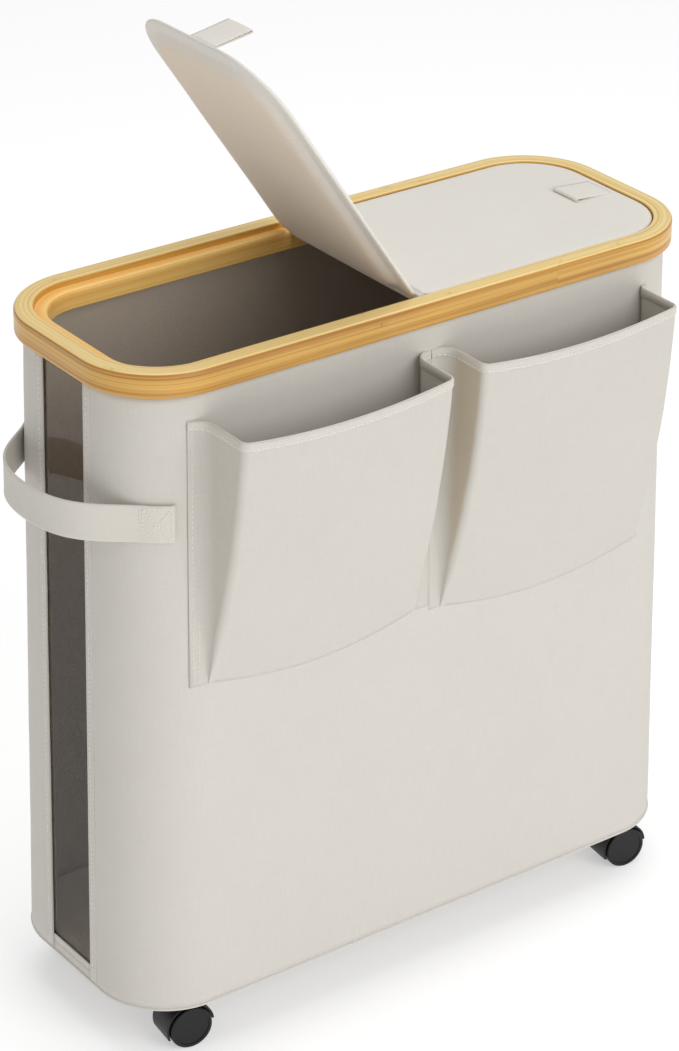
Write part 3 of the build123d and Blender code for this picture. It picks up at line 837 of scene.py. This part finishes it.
POCKET_ROWS = 44
POCKET_HALF = 76 * MM      # half of the front panel's width at the top
POCKET_BULGE = 2.2 * MM
POCKET_CLOTH = 0.8 * MM
INNER_FOLD_R = 11 * MM     # where the gusset leaves the body
OUTER_FOLD_R = 4.5 * MM    # where it meets the front panel
FLANGE_FLAT = 1.5 * MM     # the least width of a flange that stays flat
HUG_REACH = 12 * MM        # cloth nearer to the body than this follows the body's corner
HEM_THICK = 1.2 * MM       # the folded top hem, over its edge
HEM_CREST = 0.5 * MM
HEM_BEHIND = 1.4 * MM      # the hem's inner end, behind the cloth's face
HEM_ROW = 4.3 * MM         # the top hem's row of stitches, from the top edge
# x is the pocket's middle, and depth is how far its mouth stands off the body.
# belly is 0 for a straight front and 1 for a round one.
# spread widens each side at the foot, and flare widens the left flange there.
# flanges and stands are the widths and heights of the two flanges.
# seams are rows of stitches on the left flange, from its edge.
# slack shifts the cloth's unevenness, and fold_shade_share is the left fold's share of the warmer colour,
# which is painted warm shade.
LEFT_POCKET = {
    "x": -88 * MM, "depth": 40.5 * MM, "belly": 0.55, "spread": 1.5 * MM, "flare": 3.0 * MM,
    "flanges": (10.5 * MM, 11.8 * MM), "stands": (1.2 * MM, 0.45 * MM), "seams": (2.5 * MM, 6.0 * MM),
    "foot_z": POCKET_FOOT_Z, "slack": 0.0, "fold_shade_share": 0.3}
RIGHT_POCKET = {
    "x": 88.6 * MM, "depth": 36.0 * MM, "belly": 0.75, "spread": 3.4 * MM, "flare": 0.0,
    "flanges": (12.2 * MM, 5.0 * MM), "stands": (0.45 * MM, 0.8 * MM), "seams": (),
    "foot_z": POCKET_FOOT_Z - 3.5 * MM, "slack": 0.37, "fold_shade_share": 1.0}


def pocket_depth(share, depth, belly):
    """How far the front panel stands off the body; share runs from 0 at the top to 1 at the foot."""
    return depth * (1 - (1 - belly) * share - belly * share * share)


def pocket_section(half, depth, bulge, flanges):
    """The pocket's cloth seen from above, from the left flange to the right one, as (x, outward)."""
    depth = max(depth, 0.15 * MM)
    inner_r = [min(INNER_FOLD_R, depth * 0.55, flange - FLANGE_FLAT) for flange in flanges]
    outer_r = min(OUTER_FOLD_R, depth * 0.4)
    corners = [
        (-half - flanges[0], 0), (-half, 0), (-half, depth), (half, depth), (half, 0), (half + flanges[1], 0)]
    radii = [0, inner_r[0], outer_r, outer_r, inner_r[1], 0]
    points = rounded_path(corners, radii, 7, [6, 8, 30, 8, 6], closed=False)[0]
    across = np.clip(1 - (points[:, 0] / half) ** 2, 0, 1)
    on_front = np.clip((points[:, 1] - depth * 0.8) / (depth * 0.2), 0, 1)
    points[:, 1] += bulge * across * on_front
    return points


def front_y(x, z):
    """The front of the body at x and height z, which turns back at the rounded corners."""
    length, width = body_size(z)
    past = abs(x) - (length / 2 - BODY_CORNER_R)
    if past <= 0:
        return -width / 2
    past = min(past, BODY_CORNER_R)
    return -(width / 2 - BODY_CORNER_R) - math.sqrt(BODY_CORNER_R ** 2 - past ** 2)


def pocket_point(pocket, x, outward, z, half=POCKET_HALF):
    """A point of the pocket's cloth. On the body it follows the corner; the front panel stays flat."""
    share = (POCKET_TOP_Z - z) / (POCKET_TOP_Z - POCKET_FOOT_Z)
    on_panel = min(1.0, max(0.0, (half - abs(x)) / (6 * MM)))
    side = min(1.0, max(0.0, 0.5 + 0.5 * x / half))
    stand = (1 - side) * pocket["stands"][0] + side * pocket["stands"][1]
    lift = stand * (1 - on_panel * max(0.0, share) ** 4) - 0.2 * MM
    hug = max(0.0, 1 - outward / HUG_REACH)
    wall_y = (1 - hug) * -body_size(z)[1] / 2 + hug * front_y(pocket["x"] + x, z)
    return (pocket["x"] + x, wall_y - lift - outward, z)


def pocket_grid(pocket, shares=None):
    """Rows of points down the pocket, each from the left flange to the right one."""
    rows = []
    for share in shares if shares is not None else even_steps(0, 1, POCKET_ROWS):
        spread = pocket["spread"] * share
        half = POCKET_HALF + spread
        flanges = [width - spread for width in pocket["flanges"]]
        flanges[0] += pocket["flare"] * share
        bulge = POCKET_BULGE * math.sin(math.pi * min(1.0, share * 0.9 + 0.1))
        depth = pocket_depth(share, pocket["depth"], pocket["belly"])
        row = []
        for x, outward in pocket_section(half, depth, bulge, flanges):
            on_panel = max(0.0, 1 - (x / half) ** 2)
            top_z = POCKET_TOP_Z - POCKET_SAG * on_panel
            foot_z = pocket["foot_z"] - POCKET_ARC * on_panel
            z = top_z + (foot_z - top_z) * share
            row.append(pocket_point(pocket, x, outward, z, half))
        rows.append(row)
    return np.array(rows)


def outward_normals(points):
    """Directions away from the cloth for a row of points that runs left to right on the front."""
    return unit_rows(np.cross(np.gradient(points, axis=0), Z_AXIS))


def paint_shade_on_folds(panel, grid, pocket):
    """Mark the cloth of the left side fold, which takes a warmer, darker tone than the front: painted warm
    shade.
    """
    attribute = panel.data.attributes.new("under", "FLOAT", "POINT")
    fold_x = pocket["x"] - POCKET_HALF - pocket["spread"] * np.linspace(1, 0, len(grid))
    past = np.clip((fold_x[:, None] - grid[:, :, 0] + 0.7 * MM) / MM, 0, 1)
    height = np.clip((-grid[:, :, 1] - BODY_FOOT_SIZE[1] / 2) / (9 * MM), 0, 1)
    attribute.data.foreach_set("value", np.transpose(past * height * pocket["fold_shade_share"]).reshape(-1))


def make_pocket(name, pocket):
    grid = pocket_grid(pocket)
    wall = np.array([body_size(row[0][2])[1] / 2 for row in grid])
    off_wall = np.clip((-grid[:, :, 1] - wall[:, None]) / HUG_REACH, 0, 1)
    grid[:, :, 1] -= ripple(grid + pocket["slack"], 0.035, 0.5 * MM) * off_wall
    panel = skin(name + "_cloth", np.transpose(grid[::-1], (1, 0, 2)))
    # the left fold's warmer, darker tone is painted warm shade
    paint_shade_on_folds(panel, grid[::-1], pocket)
    thicken(panel, POCKET_CLOTH)
    parts = [name + "_" + part for part in ("panel", "gusset_left", "gusset_right", "flanges")]
    dress(panel, "pocket", parts)

    height = POCKET_TOP_Z - pocket["foot_z"]
    shares = [0.0, 0.15, 0.5, 0.85, 1.0]
    tops = pocket_grid(pocket, [s * POCKET_HEM / height for s in shares])
    stands = [-0.3, 0.45, 0.55, 0.45, 0.0]
    hem_rows = [row + outward_normals(row) * stand * MM for row, stand in zip(tops, stands)]
    inside = tops[0] - outward_normals(tops[0]) * HEM_THICK
    crest = (tops[0] + inside) / 2 + Z_AXIS * HEM_CREST
    behind = tops[-1] - outward_normals(tops[-1]) * HEM_BEHIND
    hem_grid = np.array([behind, inside, crest, *hem_rows])
    hem = skin(name + "_hem_fold", np.transpose(hem_grid[::-1], (1, 0, 2)))
    thicken(hem, 0.3 * MM)
    dress(hem, "cover", [name + "_hem"])

    hemmed = pocket_grid(pocket, [HEM_ROW / height])[0]
    normals = outward_normals(hemmed)
    lines = [(hemmed + normals * 0.5 * MM, normals)]
    for across in pocket["seams"]:
        column = []
        for z in even_steps(pocket["foot_z"] + 2 * MM, POCKET_TOP_Z - POCKET_HEM, 20):
            share = (POCKET_TOP_Z - z) / height
            x = across - POCKET_HALF - pocket["flanges"][0] - pocket["flare"] * share
            column.append(np.array(pocket_point(pocket, x, 0.05 * MM, z)))
        lines.append((column, -Y_AXIS))
    stitch_line(name + "_stitches", lines)


# ---- the carrying strap ----

STRAP_SEWN_ARC = (115, 138)               # the sewn end on the body's round corner, degrees from +X
STRAP_LEAVES = np.array([-0.76, -0.65])   # the way in which it leaves the body
STRAP_TIP_PULL = 1.6                      # how broad the bow is at its tip
STRAP_TIP_PROUD = 0.6 * MM
STRAP_SECTION = (
    # outward as a share of half the thickness, and height in mm on a strap 24 mm wide
    (0.55, 0.0), (0.95, 0.5), (1.0, 1.6), (0.78, 2.8), (0.8, 12.0), (0.78, 21.2), (1.0, 22.4), (0.95, 23.5),
    (0.55, 24.0), (-0.55, 24.0), (-0.95, 23.5), (-0.95, 22.0), (-0.85, 12.0), (-0.95, 2.0), (-0.95, 0.5),
    (-0.55, 0.0),
)


def hermite(start, end, start_way, end_way, steps):
    """A smooth curve between two points with the given directions and reach."""
    points = []
    for k in range(1, steps + 1):
        t = k / steps
        a = 2 * t ** 3 - 3 * t ** 2 + 1
        b = t ** 3 - 2 * t ** 2 + t
        c = -2 * t ** 3 + 3 * t ** 2
        d = t ** 3 - t ** 2
        points.append(a * start + b * start_way + c * end + d * end_way)
    return points


def strap_line(z):
    """The strap's middle line in plan at height z, from its back sewn end round to the front one."""
    length, width = body_size(z)
    centre = np.array([-(length / 2 - BODY_CORNER_R), width / 2 - BODY_CORNER_R])
    radius = BODY_CORNER_R + STRAP_CLEAR + STRAP_THICK / 2
    arc = []
    for angle in np.radians(np.linspace(*STRAP_SEWN_ARC, 10)):
        arc.append(centre + radius * np.array([math.cos(angle), math.sin(angle)]))
    tip = np.array([STRAP_LOW.x - STRAP_TIP_PROUD + STRAP_THICK / 2, 0.0])
    gap = np.linalg.norm(tip - arc[-1])
    half = arc + hermite(arc[-1], tip, STRAP_LEAVES * gap, -Y_AXIS[:2] * gap * STRAP_TIP_PULL, 18)
    half = np.array(half)
    front = half[:-1][::-1] * np.array([1, -1])
    return np.vstack([half, front])


def strap_profile():
    """The strap's section as (outward, height): flat webbing with folded, slightly thicker edges."""
    low, high = STRAP_LOW.z, STRAP_HIGH.z
    half = STRAP_THICK / 2
    scale = (high - low) / (24 * MM)
    return [(out * half, low + height * MM * scale) for out, height in STRAP_SECTION]


def make_strap():
    middle_z = (STRAP_LOW.z + STRAP_HIGH.z) / 2
    line = strap_line(middle_z)
    outward = right_of(np.gradient(line, axis=0))
    grid = []
    for point, normal in zip(line, outward):
        row = []
        for out, z in strap_profile():
            lean = end_x(z) - end_x(middle_z)
            x, y = point + normal * out
            row.append((x + lean, y, z))
        grid.append(row)
    strap = skin("strap_webbing", grid, close_v=True, caps=True)
    dress(strap, "strap", ["handle_strap"])

    for label, flip in (("back", 1), ("front", -1)):
        strap_stitches("strap_stitches_" + label, line, outward, flip).name


def on_strap(line, outward, along, height, flip):
    """A point on the strap's outer face, measured from one sewn end, and its normal."""
    if flip < 0:
        line, outward = line[::-1], outward[::-1]
    places = lengths_along(line)
    point = np.array([np.interp(along, places, line[:, c]) for c in range(2)])
    normal = np.array([np.interp(along, places, outward[:, c]) for c in range(2)])
    z = STRAP_LOW.z + height
    lift = point + normal * STRAP_THICK * 0.43
    return np.array([lift[0], lift[1], z]), np.array([normal[0], normal[1], 0.0])


def strap_stitches(name, line, outward, flip):
    """A square with a cross in it and a second row beside its inner edge, as on a sewn webbing end."""
    near, far, low, high = 2.2 * MM, 19.0 * MM, 2.2 * MM, 21.8 * MM
    corners = [(near, low), (far, low), (far, high), (near, high)]
    strokes = [(corners[k], corners[(k + 1) % 4]) for k in range(4)]
    strokes += [(corners[0], corners[2]), (corners[1], corners[3])]
    strokes += [((far + 1.6 * MM, low), (far + 1.6 * MM, high))]
    lines = []
    for (a0, h0), (a1, h1) in strokes:
        spots = [(a0 + (a1 - a0) * s, h0 + (h1 - h0) * s) for s in np.linspace(0, 1, 8)]
        pairs = [on_strap(line, outward, along, height, flip) for along, height in spots]
        lines.append(([point for point, _ in pairs], [normal for _, normal in pairs]))
    return stitch_line(name, lines, length=1.7 * MM, gap=0.8 * MM)


# ---- lids ----

LID_RINGS = (
    # inset from the outline, depth below the lid's top, both mm, and the share of the underside's warmer
    # tone, which is painted warm shade
    (22.0, 0.0, 0), (14.0, 0.02, 0), (8.0, 0.05, 0), (5.0, 0.1, 0), (3.0, 0.22, 0), (1.6, 0.45, 0),
    (0.6, 0.8, 0), (0.1, 1.2, 0), (0.0, 1.6, 0), (0.1, 2.0, 0), (0.4, 2.5, 0), (1.0, 2.88, 0), (2.0, 3.08, 0),
    (3.6, 3.18, 0.05), (5.6, 3.27, 0.1), (7.4, 3.36, 0.1), (8.4, 3.46, 0.1), (9.3, 3.8, 0.1),
    (10.4, 4.4, 0.1), (11.8, 5.2, 0.2), (13.4, 6.05, 0.4), (15.4, 6.9, 0.75), (18.0, 7.55, 0.95),
    (22.0, 7.9, 1.0),
)
LID_UNDER_DEPTH = 8.0 * MM
LID_CROWN = 0.25 * MM
LID_UNDER_CROWN = 0.3 * MM
LID_GROW = 0.7 * MM        # the cloth stands this far proud of the lid's board
LID_CUT = 3.6 * MM         # the cut corners at the hinge, along each side
LID_CUT_R = 4 * MM
LID_HINGE_SLOPE = 0.58     # how fast the hinge edge draws in towards the underside


def lid_outline(inset):
    """Plan of the right lid moved in by inset, anticlockwise, with the big corners at its outer end."""
    hinge_x = LID_HINGE_X + 0.2 * MM + LID_HINGE_SLOPE * inset
    end = LID_END_X + LID_GROW - inset
    half = LID_HALF_WIDTH + LID_GROW - inset
    cut = LID_CUT + 0.1 * inset
    corners = [
        (hinge_x, cut - half), (hinge_x + cut, -half), (end, -half), (end, half), (hinge_x + cut, half),
        (hinge_x, half - cut)]
    big = LID_CORNER_R + LID_GROW - inset
    radii = [LID_CUT_R, LID_CUT_R, big, big, LID_CUT_R, LID_CUT_R]
    return rounded_path(corners, radii, 10, [3, 18, 8, 18, 3, 16])[0]


def lid_core_line(points):
    """The middle line of the lid under each outline point."""
    reach_low = LID_HINGE_X + 45 * MM
    reach_high = LID_END_X - 60 * MM
    return np.column_stack([np.clip(points[:, 0], reach_low, reach_high), np.zeros(len(points))])


def open_left(points):
    """Points of the closed right lid, mirrored to the left one and turned to its open rest position."""
    points = np.asarray(points, float) * np.array([-1, 1, 1])
    hinge = np.array([-LID_HINGE_X, 0, LID_TOP_Z])
    shifted = points - hinge
    cosine, sine = math.cos(LID_OPEN), math.sin(LID_OPEN)
    x = shifted[..., 0] * cosine + shifted[..., 2] * sine
    z = -shifted[..., 0] * sine + shifted[..., 2] * cosine
    return np.stack([x, shifted[..., 1], z], -1) + hinge


def make_lid(side):
    """A padded lid: rings from the middle of its top over the border to the middle of its underside."""
    rings, unders = [], []
    ripple_shift = 0.3 if side == "left" else 0.0

    def add(plan, depth, under, crown=0.0):
        """Add one ring; under is its share of the underside's warmer tone, which is painted warm shade."""
        ring = at_height(plan, LID_TOP_Z - depth)
        ring[:, 2] += crown + ripple(ring + ripple_shift, 0.03, 0.12 * MM)
        rings.append(ring)
        unders.extend([under] * len(plan))

    inner = lid_outline(LID_RINGS[0][0] * MM)
    core = lid_core_line(inner)
    for share in (0.0, 0.25, 0.5, 0.75):
        add(core + (inner - core) * share, 0.0, 0.0, LID_CROWN * (1 - share))
    for inset, depth, under in LID_RINGS:
        add(lid_outline(inset * MM), depth * MM, under)
    for share in (0.75, 0.5, 0.25, 0.0):
        add(core + (inner - core) * share, LID_UNDER_DEPTH, 1.0, -LID_UNDER_CROWN * (1 - share))

    body = "lid_" + side
    piece = planar_skin(body + "_pad", rings, flip=True)
    if side == "left":
        turned = open_left([v.co[:] for v in piece.data.vertices])
        piece.data.vertices.foreach_set("co", turned.astype(np.float32).ravel())
        piece.data.flip_normals()
    # this attribute gives the underside and the border's lower side a warmer tone: painted warm shade
    attribute = piece.data.attributes.new("under", "FLOAT", "POINT")
    attribute.data.foreach_set("value", np.array(unders, np.float32))
    merge_doubles(piece)
    dress(piece, "lid", [body + "_cover", body + "_foam"], body)


LEFT_TAB_SLOPE = math.radians(9)


def tab_strip(name, line, body):
    """A loop of cloth tape as wide as the tab; line is its middle line as (x, z) points."""
    line = np.asarray(line, float)
    rows = []
    for y in even_steps(-TAB_WIDTH / 2, TAB_WIDTH / 2, 10):
        soft = 0.15 * MM * math.cos(y / TAB_WIDTH * math.pi * 2)
        rows.append([(x, y, z + soft) for x, z in line])
    piece = skin(name, rows)
    thicken(piece, TAB_THICK, 0.0)
    dress(piece, "lid", [body + "_tab"], body)


def loop_line(root, tip, open_gap, root_gap):
    """Side view of a folded loop: out along its lower layer, round the fold and back along the upper one."""
    root, tip = np.array(root), np.array(tip)
    reach = np.linalg.norm(tip - root)
    way = unit(tip - root)
    up = np.array([-way[1], way[0]])
    if up[1] < 0:
        up = -up
    radius = open_gap / 2
    path = [(along, 0.0) for along in even_steps(0, reach - radius, 8)]
    for angle in np.radians(np.linspace(-90, 90, 9))[1:-1]:
        path.append((reach - radius + radius * math.cos(angle), radius + radius * math.sin(angle)))
    for share in np.linspace(0, 1, 9):
        height = root_gap + (open_gap - root_gap) * (1 - share) ** 1.3
        path.append(((reach - radius) * (1 - share), height))
    return [root + way * along + up * height for along, height in path]


def make_tabs():
    rest_z = LID_TOP_Z + 0.3 * MM
    root, tip = (LID_END_X - 5 * MM, rest_z), (LID_END_X - 34 * MM, rest_z)
    right = loop_line(root, tip, open_gap=2.3 * MM, root_gap=0.1 * MM)
    tab_strip("lid_right_loop", right, "lid_right")

    low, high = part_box("lid_left_tab")
    root_z = low.z + 1.3 * MM
    root = (low.x, root_z)
    tip = (high.x, root_z + (high.x - low.x) * math.tan(LEFT_TAB_SLOPE))
    left = loop_line(root, tip, open_gap=1.9 * MM, root_gap=1.2 * MM)
    tab_strip("lid_left_loop", left, "lid_left")


def make_spine():
    """The cloth strip between the lids: its two ends lie on the ledge and its middle stands lower."""
    low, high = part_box("lid_spine")
    low_z = low.z + 3 * MM
    corners = [(low.x, low_z), (high.x, low_z), (high.x, high.z), (low.x, high.z)]
    profile = rounded_path(corners, [0.9 * MM] * 4, 4, 2)[0]
    rows = []
    for y in even_steps(low.y + 0.3 * MM, high.y - 0.3 * MM, 60):
        on_ledge = abs(y) > RIM_WIDTH / 2 - BAND_THICK - LEDGE_WIDTH - 0.3 * MM
        least_z = LEDGE_HIGH.z + 0.1 * MM if on_ledge else low.z
        rows.append([(x, y, max(z, least_z)) for x, z in profile])
    spine = skin("spine_strip", rows[::-1], close_v=True, caps=True)
    dress(spine, "cover", ["lid_spine"])


# ---- castors and everything inside ----

def soften(piece, width):
    """Round the CAD node's edges a little."""
    edges = piece.modifiers.new("soft_edges", "BEVEL")
    edges.width = width
    edges.segments = 2
    edges.limit_method = "ANGLE"
    edges.angle_limit = math.radians(35)
    flat_faces(piece)


def dress_cad_nodes():
    """Each CAD node that still shows takes the look of the first part of a name that fits."""
    looks = (
        ("_hood", "castor"), ("_wheel_", "wheel"), ("_axle", "steel"), ("castor_", "steel"),
        ("board_", "board"), ("base_board", "fibreboard"), ("_core", "board"), ("_foam", "foam"))
    for name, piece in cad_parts.items():
        if piece.hide_render:
            continue
        for part, look in looks:
            if part in name:
                piece.data.materials.clear()
                piece.data.materials.append(MATERIALS[look])
                break
        if "_hood" in name:
            soften(piece, 0.45 * MM)


# ---- floor, light and camera ----

WHITE = (1.0, 1.0, 1.0, 1.0)
LIGHT_TARGET = (0, 0, 0.3)
LIGHTS = (
    # name, place, the disk's size in metres, power in watts
    ("key", (0.4, -2.6, 1.7), 2.0, 30.0),
    ("fill", (-0.6, -2.3, 0.4), 1.2, 4.0),
    ("top", (0.3, 0.2, 2.8), 2.4, 24.0),
)


def make_stage():
    bpy.ops.mesh.primitive_plane_add(size=14, location=(0, 0, 0))
    floor = bpy.context.object
    floor.name = "floor"
    material, tree, shader = new_material("pale_floor")
    grain = object_noise(tree, 300.0)
    link(ramp(grain, [(0.3, (0.76,) * 3), (0.7, (0.78,) * 3)]), shader.inputs["Base Color"])
    set_sockets(shader, {"Roughness": 0.9, "Specular IOR Level": 0.1})
    set_sockets(shader, {"Emission Color": WHITE, "Emission Strength": 0.44})
    floor.data.materials.append(material)

    world = bpy.data.worlds.new("studio")
    bpy.context.scene.world = world
    world.use_nodes = True
    set_sockets(world.node_tree.nodes["Background"], {"Color": WHITE, "Strength": 0.46})
    for light in LIGHTS:
        area_light(*light)
    bpy.context.scene.view_settings.view_transform = "Standard"


def area_light(name, place, size, power):
    light = bpy.data.lights.new(name, "AREA")
    light.shape = "DISK"
    light.size = size
    light.energy = power
    lamp = add_object(name, light)
    aim = Vector(LIGHT_TARGET) - Vector(place)
    lamp.location = place
    lamp.rotation_euler = aim.to_track_quat("-Z", "Y").to_euler()


CAMERA_PLACE = (-1.13256, -1.53897, 1.28772)
CAMERA_TARGET = (-0.00877, 0.0, 0.2909)
CAMERA_ROLL = math.radians(0.3517)
CAMERA_LENS = 115.97       # mm, on a 36 mm sensor along the picture's long side


def make_camera():
    data = bpy.data.cameras.new("camera")
    data.lens = CAMERA_LENS
    data.sensor_width = 36.0
    data.sensor_fit = "AUTO"
    camera = add_object("camera", data)
    place, target = Vector(CAMERA_PLACE), Vector(CAMERA_TARGET)
    forward = (target - place).normalized()
    right = forward.cross(Vector((0, 0, 1))).normalized()
    up = right.cross(forward)
    cosine, sine = math.cos(CAMERA_ROLL), math.sin(CAMERA_ROLL)
    rolled_right = cosine * right + sine * up
    rolled_up = cosine * up - sine * right
    axes = Matrix((rolled_right, rolled_up, -forward)).transposed()
    camera.matrix_world = Matrix.Translation(place) @ axes.to_4x4()
    bpy.context.scene.camera = camera


# ---- the whole bin ----

make_rim()
make_cover()
make_lining()
make_window()
make_foot()
make_pocket("pocket_left", LEFT_POCKET)
make_pocket("pocket_right", RIGHT_POCKET)
make_strap()
make_lid("left")
make_lid("right")
make_tabs()
make_spine()
dress_cad_nodes()
make_stage()
make_camera()
